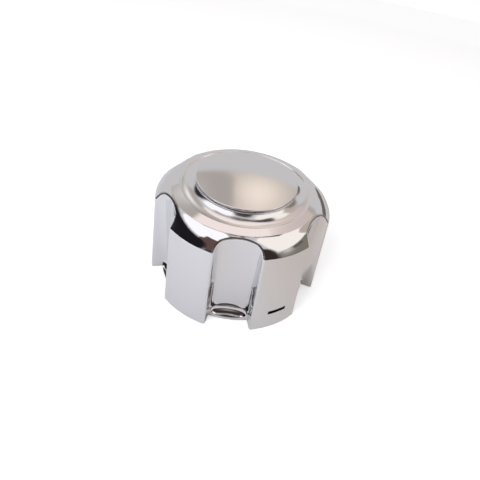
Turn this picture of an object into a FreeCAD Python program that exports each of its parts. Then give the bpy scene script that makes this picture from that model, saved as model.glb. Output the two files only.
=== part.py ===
import FreeCAD, Part
import math
import os
from FreeCAD import Vector

# Wheel center cap: a tall plated moulding with lobes and lug-nut flutes, open below, and the split
# wire ring that holds its snap fingers to the wheel's collar. Millimetres, +Z up and away from the
# wheel, origin on the axis in the plane of the lobes' feet. One flute is centred on -Y.

# Lobes
foot_radius = 70.0            # outside of the lobes at the foot
flank_taper = 5.8             # how far the flank leans in by the crease, where the shoulder starts
crease_height = 68.9
crease_round = 2.5
wall = 2.8

# Top, from the shoulder inwards
shoulder_width = 11.2
shoulder_rise = 9.3
shoulder_bulge = 1.0          # rise of the shoulder's arc above its chord
ring_width = 6.2
ring_rise = 1.6
ring_edge_round = 0.5
ring_step = 0.7               # drop from the ring to the cove's outer edge
cove_width = 9.5
cove_rise = 3.5
cove_sag = 0.9                # depth of the cove's arc below its chord
disc_rise = 2.7               # height of the disc's side wall above the cove
disc_edge_round = 0.6
disc_crown = 2.2              # rise of the dome at the centre

# Flutes, in section: a shallow back arc, two leaning sides and the rounded corners between them
flute_count = 6
flute_depth = 15.0            # from the lobes' foot to the middle of the back wall
flute_back_arc = 40.0         # radius of the back wall's own curve
flute_back_half = 14.0        # half width where the back and a side would meet
flute_side_lean = 15.0        # degrees that a side leans away from the flute's middle plane
flute_corner_round = 7.0
mouth_round = 1.5             # rounding of the arch and of the lobes' upright edges

# Flared foot of each flute: a concave fillet that runs out into a round lip
lip_reach = 6.3               # from the middle of the back wall to the lip's edge
lip_thickness = 2.8
foot_fillet = 5.5

# Pry slot through one lobe
slot_direction = 30.0         # degrees from -Y towards +X
slot_length = 13.4
slot_height = 2.2
slot_middle_height = 16.4

# Snap fingers inside, one behind each flute, with a hook at the tip and a groove for the wire ring
finger_gap = 4.2              # room behind a finger, in which it springs back
finger_thickness = 2.6
finger_width = 14.0
finger_tip_height = 3.0
finger_root_height = 32.0
finger_block_height = 6.0
hook_reach = 1.6
hook_height = 4.0
groove_height = 11.0
groove_clearance = 0.15

# Wire ring
wire_radius = 1.0
ring_split = 8.0              # gap between the wire's ends
ring_split_direction = 210.0  # degrees from -Y towards +X

# Tools reach past what they cut by this much
past = 5.0

# Worked out from the sizes above
flute_pitch = 360.0 / flute_count
crease_radius = foot_radius - flank_taper
ring_outer_radius = crease_radius - shoulder_width
ring_outer_height = crease_height + shoulder_rise
ring_inner_radius = ring_outer_radius - ring_width
ring_inner_height = ring_outer_height + ring_rise
cove_outer_radius = ring_inner_radius - ring_step
cove_outer_height = ring_inner_height - ring_step
disc_radius = cove_outer_radius - cove_width
disc_foot_height = cove_outer_height + cove_rise
disc_edge_height = disc_foot_height + disc_rise
total_height = disc_edge_height + disc_crown
flute_back_radius = foot_radius - flute_depth
lip_radius = flute_back_radius + lip_reach
finger_outer_radius = flute_back_radius - wall - finger_gap
axis = Vector(0, 0, 1)
origin = Vector(0, 0, 0)


def at(radius, height):
    """A point of an upright section through the axis and the middle of the front flute."""
    return Vector(0, -radius, height)


def line(start, end):
    return Part.LineSegment(start, end).toShape()


def bulged(start, end, rise):
    """An arc between two points of an upright section, raised above its chord by the given amount."""
    chord = end - start
    side = Vector(0, -chord.z, chord.y).normalize()
    return Part.Arc(start, (start + end) * 0.5 + side * rise, end).toShape()


def polygon(points):
    return [line(start, end) for start, end in zip(points, points[1:] + points[:1])]


def revolved(edges, degrees=360):
    return Part.Face(Part.Wire(edges)).revolve(origin, axis, degrees)


def turned(shape, degrees):
    copy = shape.copy()
    copy.rotate(origin, axis, degrees)
    return copy


def patterned(shape):
    return [turned(shape, index * flute_pitch) for index in range(flute_count)]


def circles_at(shape, radius, height):
    """The edges of a turned solid that run round the axis at one radius and height."""
    return [
        edge for edge in shape.Edges
        if not edge.Degenerated
        and isinstance(edge.Curve, Part.Circle)
        and abs(edge.Curve.Radius - radius) < 1e-4
        and abs(edge.Curve.Center.z - height) < 1e-4
    ]


def turned_outside():
    """The cap's outside before the flutes: flank, shoulder, ring, cove and domed disc."""
    foot = at(foot_radius, 0)
    crease = at(crease_radius, crease_height)
    ring_outer = at(ring_outer_radius, ring_outer_height)
    ring_inner = at(ring_inner_radius, ring_inner_height)
    cove_outer = at(cove_outer_radius, cove_outer_height)
    disc_foot = at(disc_radius, disc_foot_height)
    disc_edge = at(disc_radius, disc_edge_height)
    crown = at(0, total_height)
    dome_radius = (disc_radius ** 2 + disc_crown ** 2) / (2 * disc_crown)
    half = disc_radius / 2
    dome_middle = at(half, total_height - dome_radius + math.sqrt(dome_radius ** 2 - half ** 2))
    solid = revolved([
        line(origin, foot),
        line(foot, crease),
        bulged(crease, ring_outer, shoulder_bulge),
        line(ring_outer, ring_inner),
        line(ring_inner, cove_outer),
        bulged(cove_outer, disc_foot, -cove_sag),
        line(disc_foot, disc_edge),
        Part.Arc(disc_edge, dome_middle, crown).toShape(),
        line(crown, origin),
    ])
    solid = solid.makeFillet(crease_round, circles_at(solid, crease_radius, crease_height))
    solid = solid.makeFillet(ring_edge_round, circles_at(solid, ring_outer_radius, ring_outer_height))
    return solid.makeFillet(disc_edge_round, circles_at(solid, disc_radius, disc_edge_height))


def shifted_line(start, end, gap):
    """A line's two points in a section, moved by a gap to the right of the line's direction."""
    side = Vector(0, end.z - start.z, start.y - end.y).normalize()
    return start + side * gap, end + side * gap


def crossing(first, second):
    """The point where two lines of a section meet."""
    start, along = first[0], first[1] - first[0]
    other, across = second[0], second[1] - second[0]
    share = (other - start).cross(across).x / along.cross(across).x
    return start + along * share


def turned_inside():
    """The hollow before the flutes, one wall inside the outside and open at the foot."""
    foot = at(foot_radius, 0)
    crease = at(crease_radius, crease_height)
    ring_outer = at(ring_outer_radius, ring_outer_height)
    cove_outer = at(cove_outer_radius, cove_outer_height)
    disc_foot = at(disc_radius, disc_foot_height)
    flank = shifted_line(foot, crease, wall)
    shoulder = shifted_line(crease, ring_outer, wall)
    ceiling = (at(foot_radius, cove_outer.z - wall), at(0, cove_outer.z - wall))
    below = (at(foot_radius, -past), at(0, -past))
    cove_slope = shifted_line(cove_outer, disc_foot, wall)
    disc_side = (at(disc_radius - wall, 0), at(disc_radius - wall, total_height))
    under_disc = at(disc_radius - wall, disc_edge_height - wall)
    points = [
        at(0, -past),
        crossing(below, flank),
        crossing(flank, shoulder),
        crossing(shoulder, ceiling),
        crossing(ceiling, cove_slope),
        crossing(cove_slope, disc_side),
        under_disc,
        at(0, under_disc.z),
    ]
    return revolved(polygon(points))


def flute_section(gap):
    """The front flute's section, grown by a gap, from behind the back wall to past the lobes."""
    lean = math.radians(flute_side_lean)
    back_depth = flute_back_arc - math.sqrt(flute_back_arc ** 2 - flute_back_half ** 2)
    side_x = flute_back_half + gap * math.cos(lean)
    side_depth = back_depth - gap * math.sin(lean)
    from_centre = side_depth - flute_back_arc
    middle = side_x * math.sin(lean) + from_centre * math.cos(lean)
    outside = side_x ** 2 + from_centre ** 2 - (flute_back_arc + gap) ** 2
    along = -middle - math.sqrt(middle ** 2 - outside)
    corner = Vector(side_x + along * math.sin(lean), side_depth + along * math.cos(lean), 0)
    reach = foot_radius + past - flute_back_radius
    mouth = Vector(corner.x + (reach - corner.y) * math.tan(lean), reach, 0)
    right_mouth, right_corner, back, left_corner, left_mouth = (
        Vector(x, -flute_back_radius - depth, 0)
        for x, depth in (
            (mouth.x, mouth.y), (corner.x, corner.y), (0, -gap), (-corner.x, corner.y), (-mouth.x, mouth.y)
        )
    )
    return Part.Face(Part.Wire([
        line(right_mouth, right_corner),
        Part.Arc(right_corner, back, left_corner).toShape(),
        line(left_corner, left_mouth),
        line(left_mouth, right_mouth),
    ]))


def inside_mouth(edge):
    """Whether an edge of the front flute's tool lies inward of the tool's outer end."""
    return all(vertex.Y > -foot_radius - past / 2 for vertex in edge.Vertexes)


def flute_prism(gap, floor):
    """The front flute's tool, grown by a gap, from a floor to above the cap, with rounded corners."""
    section = flute_section(gap)
    section.translate(Vector(0, 0, floor))
    prism = section.extrude(Vector(0, 0, total_height + past - floor))
    corners = [edge for edge in prism.Edges if edge.BoundBox.ZLength > past and inside_mouth(edge)]
    return prism.makeFillet(flute_corner_round + gap, corners)


def flute_pocket(gap):
    """The flute above its flared foot: the foot's fillet runs along the sides and the back."""
    floor = lip_thickness - gap
    prism = flute_prism(gap, floor)
    foot = [
        edge for edge in prism.Edges
        if edge.BoundBox.ZMax < floor + 1e-4 and edge.BoundBox.YMax > -foot_radius
    ]
    return prism.makeFillet(foot_fillet + gap, foot)


def flute_drop(gap):
    """The flute outside the lip, where it runs straight down past the foot."""
    core = Part.makeCylinder(lip_radius - gap, total_height + 4 * past, Vector(0, 0, -2 * past))
    return flute_prism(gap, -past).cut(core)


def without_flutes(solid, gap):
    tools = patterned(flute_pocket(gap)) + patterned(flute_drop(gap))
    return solid.cut(tools)


def fluted_outside():
    """The outside with its flutes, and the rounding of each arch and of the lobes' upright edges."""
    plain = turned_outside()
    skin = plain.Shells[0]
    fluted = without_flutes(plain, 0)

    def on_mouth(edge):
        box = edge.BoundBox
        if box.ZLength < crease_round / 10 or box.ZMax > ring_outer_height:
            return False
        if len(fluted.ancestorsOfType(edge, Part.Face)) < 2:
            return False
        samples = edge.discretize(5)
        return all(skin.distToShape(Part.Vertex(point))[0] < 1e-3 for point in samples)

    mouths = [edge for edge in fluted.Edges if on_mouth(edge)]
    return fluted.makeFillet(mouth_round, mouths)


def snap_finger():
    """The front finger: a hooked strip on a block that grows out of the flute's back wall."""
    inner_radius = finger_outer_radius - finger_thickness
    hook_top = finger_tip_height + hook_height
    strip = [
        at(finger_outer_radius, finger_tip_height),
        at(finger_outer_radius, finger_root_height - finger_block_height),
        at(flute_back_radius - wall / 2, finger_root_height - finger_block_height),
        at(flute_back_radius - wall / 2, finger_root_height),
        at(inner_radius, finger_root_height),
        at(inner_radius, hook_top),
        at(inner_radius - hook_reach, hook_top - hook_reach),
        at(inner_radius, finger_tip_height),
    ]
    face = Part.Face(Part.Wire(polygon(strip)))
    face.translate(Vector(-finger_width / 2, 0, 0))
    groove = Part.makeTorus(finger_outer_radius, wire_radius + groove_clearance, Vector(0, 0, groove_height))
    return face.extrude(Vector(finger_width, 0, 0)).cut(groove)


def pry_slot():
    """A bar through the flank of one lobe."""
    bar = Part.makeBox(
        slot_length, 2 * wall + 2 * past, slot_height,
        Vector(-slot_length / 2, -foot_radius - past, slot_middle_height - slot_height / 2),
    )
    return turned(bar, slot_direction)


def cap_body():
    hollow = without_flutes(turned_inside(), wall)
    shell = fluted_outside().cut(hollow).cut(pry_slot())
    return shell.fuse(patterned(snap_finger())).removeSplitter()


def retaining_ring():
    """The split wire ring, seated in the fingers' grooves."""
    split = math.degrees(ring_split / finger_outer_radius)
    wire = Part.Circle(at(finger_outer_radius, groove_height), Vector(1, 0, 0), wire_radius).toShape()
    ring = revolved([wire], 360 - split)
    return turned(ring, ring_split_direction + split / 2)


os.makedirs("parts", exist_ok=True)
cap_body().exportStep("parts/cap_body.step")
retaining_ring().exportStep("parts/retaining_ring.step")
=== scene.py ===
import math

import bpy
from mathutils import Matrix, Vector


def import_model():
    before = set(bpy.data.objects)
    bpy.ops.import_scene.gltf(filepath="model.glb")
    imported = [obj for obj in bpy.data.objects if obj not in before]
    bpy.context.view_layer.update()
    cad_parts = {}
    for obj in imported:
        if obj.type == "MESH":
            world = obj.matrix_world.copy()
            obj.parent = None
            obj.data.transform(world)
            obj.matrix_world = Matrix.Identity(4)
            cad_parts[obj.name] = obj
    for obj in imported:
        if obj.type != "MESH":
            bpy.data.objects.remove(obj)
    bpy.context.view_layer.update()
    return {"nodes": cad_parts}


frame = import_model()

# Looks of the wheel center cap: bright chrome plating on the moulding, drawn wire for the ring inside,
# a pale floor and a bright room with a few dark and warm things in it, which the chrome mirrors.

# Photograph's view, in the frame's metres and degrees; the sensor is as wide as the picture
PICTURE_WIDTH = 480.0
SENSOR = 36.0
FOCAL_PIXELS = 339.7
VIEW_DISTANCE = 0.2990
VIEW_ELEVATION = 43.17
VIEW_ROLL = 9.80
VIEW_TURN = -2.91
VIEW_SIDE = 0.00552
VIEW_RISE = 0.01759
NEAR_LIMIT = 0.01

# Places on the cap where the finish changes, and the widths of the changes, in metres
DISC_RADIUS = 0.0366
COVE_RADIUS = 0.0464
RING_RADIUS = 0.0530
TOP_START = 0.0782
DISC_FADE = 0.0006
TOP_FADE = 0.001

# Pry slot, whose walls and edges are painted near black as the shade in the slot; the box is a
# little larger than the slot, and its direction is in degrees from -Y towards +X
SLOT_DIRECTION = 30.0
SLOT_HALF_LENGTH = 0.0073
SLOT_LOW = 0.0147
SLOT_HIGH = 0.0181

# Limits past which a face counts as inside: below the top, its radius in metres times its normal's
# outward part, and anywhere the normal's upward part
INWARD_LIMIT = -0.005
DOWNWARD_LIMIT = -0.5

# Finishes: a pair of roughnesses is the least and the most, a noise is its scale and detail,
# and a bump is its strength and its height in metres
CHROME_COLOUR = (0.88, 0.88, 0.9, 1)
DUST_COLOUR = (0.62, 0.6, 0.58, 1)
# Painted shade: near black for the walls and edges of the pry slot
SLOT_SHADE_COLOUR = (0.012, 0.012, 0.013, 1)
STEEL_DARK = (0.3, 0.29, 0.28, 1)
STEEL_LIGHT = (0.55, 0.55, 0.57, 1)
SHARP_ROUGHNESS = (0.015, 0.05)
RING_ROUGHNESS = (0.06, 0.1)
DISC_ROUGHNESS = (0.08, 0.13)
COVE_ROUGHNESS = (0.11, 0.16)
INSIDE_ROUGHNESS = 0.34
STEEL_ROUGHNESS = (0.28, 0.45)
GROUND_ROUGHNESS = 0.9
SMEAR_NOISE = (55.0, 3.0)
DUST_NOISE = (900.0, 1.0)
DUST_START = 0.74
DUST_END = 0.8
DUST_SHARE = 0.35
EVEN_RADIUS = 0.001
EVEN_SAMPLES = 8
RIPPLE_NOISE = (42.0, 1.0)
RIPPLE_BUMP = (0.06, 0.0012)
WIPE_STRETCH = (1.0, 14.0, 3.0)
WIPE_NOISE = (420.0, 2.0)
WIPE_BUMP = (0.008, 0.0002)
PATCH_NOISE = (130.0, 3.0)
DRAWN_STRETCH = (1.0, 1.0, 30.0)
DRAWN_NOISE = (160.0, 2.0)
DRAWN_BUMP = (0.15, 0.0002)

# Surroundings, in metres; the mat's warm, darker side, a painted shade on the floor, lies near the cap, to
# its right
FLOOR_RADIUS = 2.0
FLOOR_OPENING = 0.06
FLOOR_STEPS = 96
FLOOR_DROP = -0.0002
FLOOR_COLOUR = (0.72, 0.72, 0.73, 1)
FLOOR_LIFT = 0.49
MAT_RADIUS = 1.15
MAT_DROP = -0.0001
MAT_COOL = (0.72, 0.73, 0.765, 1)
# Painted shade: the mat's warm side is darker and stands for the shade on the floor at the cap's right
MAT_WARM_SHADE = (0.62, 0.565, 0.52, 1)
SHADE_NEAR = 0.2
SHADE_FAR = 0.5
SHADE_LEFT = -0.06
SHADE_RIGHT = 0.14
ROOM_COLOUR = (0.6, 0.585, 0.585, 1)
BACKDROP_COLOUR = (1, 1, 1, 1)
LAMP_PLACE = (-0.5, -0.6, 0.9)
LAMP_TARGET = (0, 0, 0.05)
LAMP_SIZE = 0.5
LAMP_POWER = 7

# Cards that the chrome mirrors: name, azimuths, elevations, colour, hot spot, rim. Each stands
# a little farther off than the one before it.
CARD_DISTANCE = 1.2
CARD_GAP = 0.01
CARD_STEPS = 40
CARD_RIM = 0.1
CARD_SQUARENESS = 5
CARDS = (
    ("dark_left", (-128, -36), (-4, 46), (0.012, 0.011, 0.014), (-98, 14, 10, (0.3, 0.3, 0.33))),
    ("window_left", (-112, -50), (47, 67), (1.1, 1.08, 1.1)),
    ("window_left_high", (-94, -28), (56, 80), (1.1, 1.08, 1.1)),
    ("brown_left", (-56, -18), (28, 63), (0.12, 0.075, 0.065)),
    ("dark_front", (-40, 52), (-4, 54), (0.035, 0.025, 0.022), (2, 23, 12, (0.34, 0.31, 0.295))),
    ("dark_front_high", (-24, 34), (48, 78), (0.05, 0.035, 0.03)),
    ("streak_right", (71, 87), (28, 33.5), (0.13, 0.115, 0.1)),
    ("olive_right", (44, 128), (-4, 36), (0.21, 0.19, 0.16), (63, 33, 8, (0.62, 0.58, 0.52))),
    ("brown_right", (100, 132), (24, 47), (0.5, 0.43, 0.38)),
    ("ceiling_dark", (88, 132), (61, 86), (0.03, 0.025, 0.022)),
    ("cream_right", (44, 128), (34, 76), (1.02, 0.95, 0.88)),
    ("dark_back_right", (126, 150), (-4, 12), (0.16, 0.14, 0.115)),
    ("wall_right", (116, 157), (36, 66), (0.62, 0.52, 0.485), (148, 64, 11, (0.98, 0.85, 0.8))),
    ("glow_back", (-178, -124), (33, 58), (0.43, 0.385, 0.355), (-151, 44, 8, (1.0, 1.0, 0.97))),
    ("wall_back", (112, 240), (33, 60), (0.43, 0.385, 0.355), (171, 45, 14, (0.97, 0.84, 0.72))),
    ("ceiling_left", (-130, -22), (66, 84), (0.42, 0.385, 0.365)),
    ("ceiling_warm", (112, 240), (56, 79), (0.98, 0.85, 0.8)),
    ("ceiling_top", (0, 360), (82, 90), (0.16, 0.135, 0.115)),
    ("room", (-180, 180), (-4, 90), ROOM_COLOUR[:3], None, 0),
)


def node_tree(material):
    tree = material.node_tree
    shader = tree.nodes["Principled BSDF"]
    return tree, shader


def new_material(name):
    material = bpy.data.materials.new(name)
    material.use_nodes = True
    return material


def link(tree, source, target):
    tree.links.new(source, target)


def math_node(tree, operation, first, second=None):
    node = tree.nodes.new("ShaderNodeMath")
    node.operation = operation
    for socket, value in zip(node.inputs, (first, second)):
        if isinstance(value, (int, float)):
            socket.default_value = value
        elif value is not None:
            link(tree, value, socket)
    return node.outputs["Value"]


def blend_node(tree, share, low, high):
    """A value that goes from low to high as the share goes from 0 to 1."""
    node = tree.nodes.new("ShaderNodeMapRange")
    link(tree, share, node.inputs["Value"])
    for name, value in (("To Min", low), ("To Max", high)):
        if isinstance(value, (int, float)):
            node.inputs[name].default_value = value
        else:
            link(tree, value, node.inputs[name])
    return node.outputs["Result"]


def step_node(tree, value, start, end):
    """Rises smoothly from 0 at start to 1 at end."""
    node = tree.nodes.new("ShaderNodeMapRange")
    node.interpolation_type = "SMOOTHSTEP"
    link(tree, value, node.inputs["Value"])
    node.inputs["From Min"].default_value = start
    node.inputs["From Max"].default_value = end
    return node.outputs["Result"]


def noise_node(tree, place, scale, detail):
    node = tree.nodes.new("ShaderNodeTexNoise")
    node.inputs["Scale"].default_value = scale
    node.inputs["Detail"].default_value = detail
    link(tree, place, node.inputs["Vector"])
    return node.outputs["Fac"]


def bump_node(tree, height, strength, distance, under=None):
    node = tree.nodes.new("ShaderNodeBump")
    node.inputs["Strength"].default_value = strength
    node.inputs["Distance"].default_value = distance
    link(tree, height, node.inputs["Height"])
    if under is not None:
        link(tree, under, node.inputs["Normal"])
    return node.outputs["Normal"]


def slot_shade_mask(tree, parts):
    """1 on the walls and edges of the pry slot, where shade is painted, from the parts of a place on the
    cap.
    """
    turn = math.radians(SLOT_DIRECTION)
    x, y, z = (parts.outputs[name] for name in "XYZ")
    sideways = math_node(
        tree, "ADD",
        math_node(tree, "MULTIPLY", x, math.cos(turn)), math_node(tree, "MULTIPLY", y, math.sin(turn)),
    )
    forwards = math_node(
        tree, "SUBTRACT",
        math_node(tree, "MULTIPLY", x, math.sin(turn)), math_node(tree, "MULTIPLY", y, math.cos(turn)),
    )
    between = math_node(
        tree, "MULTIPLY",
        math_node(tree, "GREATER_THAN", z, SLOT_LOW), math_node(tree, "LESS_THAN", z, SLOT_HIGH),
    )
    within = math_node(tree, "LESS_THAN", math_node(tree, "ABSOLUTE", sideways), SLOT_HALF_LENGTH)
    in_front = math_node(tree, "GREATER_THAN", forwards, RING_RADIUS)
    return math_node(tree, "MULTIPLY", math_node(tree, "MULTIPLY", between, within), in_front)


def chrome():
    """Bright plating: satin on the disc and in the cove, soft on the ring, sharp on the shoulder and
    the lobes, and dull inside. Its normals are evened, and it has the faint ripple of a plated
    moulding, fine wiping scratches and specks of dust."""
    material = new_material("chrome_plating")
    tree, shader = node_tree(material)
    place = tree.nodes.new("ShaderNodeTexCoord").outputs["Object"]
    parts = tree.nodes.new("ShaderNodeSeparateXYZ")
    link(tree, place, parts.inputs["Vector"])
    across = math_node(tree, "MULTIPLY", parts.outputs["X"], parts.outputs["X"])
    along = math_node(tree, "MULTIPLY", parts.outputs["Y"], parts.outputs["Y"])
    radius = math_node(tree, "SQRT", math_node(tree, "ADD", across, along))

    outward = tree.nodes.new("ShaderNodeVectorMath")
    outward.operation = "DOT_PRODUCT"
    flat = tree.nodes.new("ShaderNodeCombineXYZ")
    link(tree, parts.outputs["X"], flat.inputs["X"])
    link(tree, parts.outputs["Y"], flat.inputs["Y"])
    facing = tree.nodes.new("ShaderNodeNewGeometry").outputs["Normal"]
    link(tree, flat.outputs["Vector"], outward.inputs[0])
    link(tree, facing, outward.inputs[1])
    tilt = tree.nodes.new("ShaderNodeSeparateXYZ")
    link(tree, facing, tilt.inputs["Vector"])
    looks_in = math_node(tree, "LESS_THAN", outward.outputs["Value"], INWARD_LIMIT)
    below_top = math_node(tree, "LESS_THAN", parts.outputs["Z"], TOP_START)
    looks_down = math_node(tree, "LESS_THAN", tilt.outputs["Z"], DOWNWARD_LIMIT)
    inside = math_node(tree, "MAXIMUM", math_node(tree, "MULTIPLY", looks_in, below_top), looks_down)

    past_disc = step_node(tree, radius, DISC_RADIUS - DISC_FADE, DISC_RADIUS)
    on_disc = math_node(tree, "SUBTRACT", 1.0, past_disc)
    past_cove = step_node(tree, radius, COVE_RADIUS - TOP_FADE, COVE_RADIUS)
    in_cove = math_node(tree, "SUBTRACT", 1.0, past_cove)
    off_top = step_node(tree, radius, RING_RADIUS - TOP_FADE, RING_RADIUS + TOP_FADE)
    smear = noise_node(tree, place, *SMEAR_NOISE)
    sharp = blend_node(tree, smear, *SHARP_ROUGHNESS)
    soft = blend_node(tree, smear, *RING_ROUGHNESS)
    satin = blend_node(tree, smear, *DISC_ROUGHNESS)
    cove = blend_node(tree, smear, *COVE_ROUGHNESS)
    top = blend_node(tree, on_disc, blend_node(tree, in_cove, soft, cove), satin)
    outside = blend_node(tree, off_top, top, sharp)
    link(tree, blend_node(tree, inside, outside, INSIDE_ROUGHNESS), shader.inputs["Roughness"])

    dust = step_node(tree, noise_node(tree, place, *DUST_NOISE), DUST_START, DUST_END)
    tint = tree.nodes.new("ShaderNodeMix")
    tint.data_type = "RGBA"
    tint.inputs["A"].default_value = CHROME_COLOUR
    tint.inputs["B"].default_value = DUST_COLOUR
    link(tree, math_node(tree, "MULTIPLY", dust, DUST_SHARE), tint.inputs["Factor"])
    # Painted shade: the pry slot's walls and edges turn near black
    slot_shade = tree.nodes.new("ShaderNodeMix")
    slot_shade.data_type = "RGBA"
    slot_shade.inputs["B"].default_value = SLOT_SHADE_COLOUR
    link(tree, slot_shade_mask(tree, parts), slot_shade.inputs["Factor"])
    link(tree, tint.outputs["Result"], slot_shade.inputs["A"])
    link(tree, slot_shade.outputs["Result"], shader.inputs["Base Color"])
    shader.inputs["Metallic"].default_value = 1.0

    even = tree.nodes.new("ShaderNodeBevel")
    even.samples = EVEN_SAMPLES
    even.inputs["Radius"].default_value = EVEN_RADIUS
    ripple = bump_node(tree, noise_node(tree, place, *RIPPLE_NOISE), *RIPPLE_BUMP, even.outputs["Normal"])
    stretch = tree.nodes.new("ShaderNodeMapping")
    stretch.inputs["Scale"].default_value = WIPE_STRETCH
    link(tree, place, stretch.inputs["Vector"])
    scratches = noise_node(tree, stretch.outputs["Vector"], *WIPE_NOISE)
    wiped = bump_node(tree, scratches, *WIPE_BUMP, ripple)
    link(tree, wiped, shader.inputs["Normal"])
    return material


def spring_steel():
    """Drawn wire: fine lines round the ring, and a darker oil film in patches."""
    material = new_material("spring_steel")
    tree, shader = node_tree(material)
    place = tree.nodes.new("ShaderNodeTexCoord").outputs["Object"]
    patches = noise_node(tree, place, *PATCH_NOISE)
    tint = tree.nodes.new("ShaderNodeMix")
    tint.data_type = "RGBA"
    tint.inputs["A"].default_value = STEEL_DARK
    tint.inputs["B"].default_value = STEEL_LIGHT
    link(tree, patches, tint.inputs["Factor"])
    link(tree, tint.outputs["Result"], shader.inputs["Base Color"])
    shader.inputs["Metallic"].default_value = 1.0
    link(tree, blend_node(tree, patches, *STEEL_ROUGHNESS), shader.inputs["Roughness"])
    lines = tree.nodes.new("ShaderNodeMapping")
    lines.inputs["Scale"].default_value = DRAWN_STRETCH
    link(tree, place, lines.inputs["Vector"])
    drawn = bump_node(tree, noise_node(tree, lines.outputs["Vector"], *DRAWN_NOISE), *DRAWN_BUMP)
    link(tree, drawn, shader.inputs["Normal"])
    return material


def dress(node, material):
    piece = frame["nodes"][node]
    piece.data.materials.clear()
    piece.data.materials.append(material)


def camera():
    elevation = math.radians(VIEW_ELEVATION)
    roll = math.radians(VIEW_ROLL)
    back = Vector((0, -math.cos(elevation), math.sin(elevation)))
    level = Vector((1, 0, 0))
    upright = back.cross(level)
    right = math.cos(roll) * level + math.sin(roll) * upright
    up = math.cos(roll) * upright - math.sin(roll) * level
    eye = back * VIEW_DISTANCE + right * VIEW_SIDE + up * VIEW_RISE
    axes = Matrix((right, up, back)).transposed().to_4x4()
    data = bpy.data.cameras.new("camera")
    data.sensor_width = SENSOR
    data.lens = FOCAL_PIXELS * SENSOR / PICTURE_WIDTH
    data.clip_start = NEAR_LIMIT
    piece = bpy.data.objects.new("camera", data)
    piece.matrix_world = Matrix.Rotation(math.radians(VIEW_TURN), 4, "Z") @ Matrix.Translation(eye) @ axes
    bpy.context.scene.collection.objects.link(piece)
    bpy.context.scene.camera = piece


def mesh_object(name, points, faces, material):
    mesh = bpy.data.meshes.new(name)
    mesh.from_pydata(points, [], faces)
    mesh.materials.append(material)
    piece = bpy.data.objects.new(name, mesh)
    bpy.context.scene.collection.objects.link(piece)
    return piece


def card_material():
    """Self-lit in the card's own tones, and clear at its soft rim."""
    material = new_material("card")
    tree = material.node_tree
    tree.nodes.clear()
    tone = tree.nodes.new("ShaderNodeAttribute")
    tone.attribute_name = "tone"
    emission = tree.nodes.new("ShaderNodeEmission")
    link(tree, tone.outputs["Color"], emission.inputs["Color"])
    cover = tree.nodes.new("ShaderNodeAttribute")
    cover.attribute_name = "cover"
    clear = tree.nodes.new("ShaderNodeBsdfTransparent")
    rim = tree.nodes.new("ShaderNodeMixShader")
    link(tree, cover.outputs["Fac"], rim.inputs["Fac"])
    link(tree, clear.outputs["BSDF"], rim.inputs[1])
    link(tree, emission.outputs["Emission"], rim.inputs[2])
    output = tree.nodes.new("ShaderNodeOutputMaterial")
    link(tree, rim.outputs["Shader"], output.inputs["Surface"])
    return material


def shows_backdrop(tree):
    """1 for the view's own rays and for those that a piece mirrors or lets through."""
    path = tree.nodes.new("ShaderNodeLightPath")
    mirrored = path.outputs["Is Glossy Ray"]
    passed_on = math_node(tree, "MAXIMUM", mirrored, path.outputs["Is Transmission Ray"])
    return math_node(tree, "MAXIMUM", path.outputs["Is Camera Ray"], passed_on)


def ground(name, height, outer, material, shown):
    """A flat ring round the cap, clear from below and open under the hollow, so that light gets in."""
    tree = material.node_tree
    open_below = tree.nodes.new("ShaderNodeMixShader")
    link(tree, tree.nodes.new("ShaderNodeNewGeometry").outputs["Backfacing"], open_below.inputs["Fac"])
    link(tree, shown, open_below.inputs[1])
    link(tree, tree.nodes.new("ShaderNodeBsdfTransparent").outputs["BSDF"], open_below.inputs[2])
    link(tree, open_below.outputs["Shader"], tree.nodes["Material Output"].inputs["Surface"])
    turns = [2 * math.pi * step / FLOOR_STEPS for step in range(FLOOR_STEPS)]
    points = [
        (radius * math.cos(turn), radius * math.sin(turn), height)
        for radius in (FLOOR_OPENING, outer) for turn in turns
    ]
    faces = [
        (step, step + FLOOR_STEPS, (step + 1) % FLOOR_STEPS + FLOOR_STEPS, (step + 1) % FLOOR_STEPS)
        for step in range(FLOOR_STEPS)
    ]
    piece = mesh_object(name, points, faces, material)
    return piece


def floor():
    """A pale floor that keeps the shadow and is lifted nearly to the backdrop's white."""
    material = new_material("floor")
    tree, shader = node_tree(material)
    shader.inputs["Base Color"].default_value = FLOOR_COLOUR
    shader.inputs["Roughness"].default_value = GROUND_ROUGHNESS
    lift = tree.nodes.new("ShaderNodeEmission")
    link(tree, math_node(tree, "MULTIPLY", shows_backdrop(tree), FLOOR_LIFT), lift.inputs["Strength"])
    both = tree.nodes.new("ShaderNodeAddShader")
    link(tree, shader.outputs["BSDF"], both.inputs[0])
    link(tree, lift.outputs["Emission"], both.inputs[1])
    ground("floor", FLOOR_DROP, FLOOR_RADIUS, material, both.outputs["Shader"])


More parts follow.
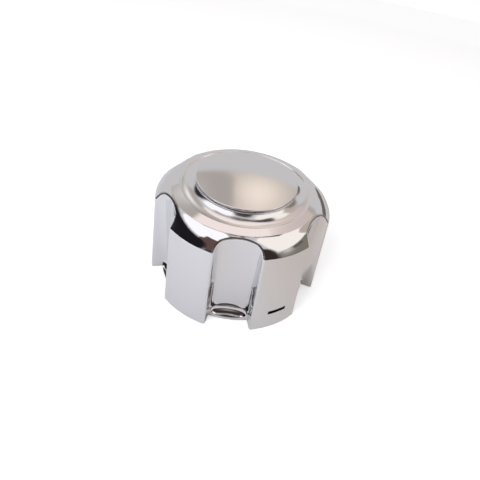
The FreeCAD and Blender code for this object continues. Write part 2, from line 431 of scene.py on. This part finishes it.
def mat():
    """A grey mat on the floor, cool, with a warm, darker side near the cap that is painted shade, that only
    the chrome sees.
    """
    material = new_material("mat")
    tree, shader = node_tree(material)
    place = tree.nodes.new("ShaderNodeTexCoord").outputs["Object"]
    parts = tree.nodes.new("ShaderNodeSeparateXYZ")
    link(tree, place, parts.inputs["Vector"])
    away = tree.nodes.new("ShaderNodeVectorMath")
    away.operation = "LENGTH"
    link(tree, place, away.inputs[0])
    near = math_node(tree, "SUBTRACT", 1.0, step_node(tree, away.outputs["Value"], SHADE_NEAR, SHADE_FAR))
    to_right = step_node(tree, parts.outputs["X"], SHADE_LEFT, SHADE_RIGHT)
    # Painted shade: the mat turns warm and darker near the cap, to its right
    tint = tree.nodes.new("ShaderNodeMix")
    tint.data_type = "RGBA"
    tint.inputs["A"].default_value = MAT_COOL
    tint.inputs["B"].default_value = MAT_WARM_SHADE
    link(tree, math_node(tree, "MULTIPLY", near, to_right), tint.inputs["Factor"])
    link(tree, tint.outputs["Result"], shader.inputs["Base Color"])
    shader.inputs["Roughness"].default_value = GROUND_ROUGHNESS
    only_mirrored(ground("mat", MAT_DROP, MAT_RADIUS, material, shader.outputs["BSDF"]))


def only_mirrored(piece):
    """Hides a piece from the view, the light and the shadows, so that only the chrome sees it."""
    piece.visible_camera = False
    piece.visible_diffuse = False
    piece.visible_shadow = False


def card(distance, name, azimuths, elevations, colour, hot_spot=None, rim=CARD_RIM):
    """A curved card that only the chrome sees. Azimuth is in degrees from -Y towards +X. A hot spot is
    its azimuth, elevation, spread in degrees and colour. The rim is the share of the way from edge
    to middle over which it fades out, and 0 gives a hard edge."""
    points, tones, covers = [], [], []
    shares = [2 * step / CARD_STEPS - 1 for step in range(CARD_STEPS + 1)]
    for rise in shares:
        elevation = (elevations[0] + elevations[1] + rise * (elevations[1] - elevations[0])) / 2
        for sweep in shares:
            azimuth = (azimuths[0] + azimuths[1] + sweep * (azimuths[1] - azimuths[0])) / 2
            level = distance * math.cos(math.radians(elevation))
            height = distance * math.sin(math.radians(elevation))
            turn = math.radians(azimuth)
            points.append((level * math.sin(turn), -level * math.cos(turn), height))
            spread = (abs(rise) ** CARD_SQUARENESS + abs(sweep) ** CARD_SQUARENESS) ** (1 / CARD_SQUARENESS)
            covers.append(min(1.0, max(0.0, (1 - spread) / rim)) if rim else 1.0)
            tone = Vector(colour)
            if hot_spot:
                spot_azimuth, spot_elevation, spot_spread, spot_colour = hot_spot
                away = math.hypot(azimuth - spot_azimuth, elevation - spot_elevation) / spot_spread
                tone = tone.lerp(Vector(spot_colour), math.exp(-away ** 2))
            tones.append(tone)
    faces = []
    for row in range(CARD_STEPS):
        for column in range(CARD_STEPS):
            corner = row * (CARD_STEPS + 1) + column
            faces.append((corner, corner + 1, corner + CARD_STEPS + 2, corner + CARD_STEPS + 1))
    piece = mesh_object(name, points, faces, bpy.data.materials.get("card") or card_material())
    layers = piece.data.attributes
    layers.new("tone", "FLOAT_COLOR", "POINT")
    layers.new("cover", "FLOAT", "POINT")
    layers["tone"].data.foreach_set("color", [value for tone in tones for value in (*tone, 1)])
    layers["cover"].data.foreach_set("value", covers)
    only_mirrored(piece)


def world():
    """White for the view's own rays and for mirrored ones, and grey for the light on the ground."""
    scene_world = bpy.data.worlds.new("world")
    bpy.context.scene.world = scene_world
    scene_world.use_nodes = True
    tree = scene_world.node_tree
    room = tree.nodes["Background"]
    room.inputs["Color"].default_value = ROOM_COLOUR
    white = tree.nodes.new("ShaderNodeBackground")
    choice = tree.nodes.new("ShaderNodeMixShader")
    link(tree, shows_backdrop(tree), choice.inputs["Fac"])
    link(tree, room.outputs["Background"], choice.inputs[1])
    link(tree, white.outputs["Background"], choice.inputs[2])
    white.inputs["Color"].default_value = BACKDROP_COLOUR
    link(tree, choice.outputs["Shader"], tree.nodes["World Output"].inputs["Surface"])


def lamp(name, place, target, size, power):
    """A square white lamp that the chrome doesn't mirror."""
    data = bpy.data.lights.new(name, "AREA")
    data.size = size
    data.energy = power
    piece = bpy.data.objects.new(name, data)
    piece.location = place
    piece.rotation_euler = (Vector(target) - Vector(place)).to_track_quat("-Z", "Y").to_euler()
    piece.visible_glossy = False
    bpy.context.scene.collection.objects.link(piece)


dress("cap_body", chrome())
dress("retaining_ring", spring_steel())
floor()
mat()
world()
for place, card_sizes in enumerate(CARDS):
    card(CARD_DISTANCE + place * CARD_GAP, *card_sizes)
lamp("key", LAMP_PLACE, LAMP_TARGET, LAMP_SIZE, LAMP_POWER)
camera()
bpy.context.scene.view_settings.view_transform = "Standard"
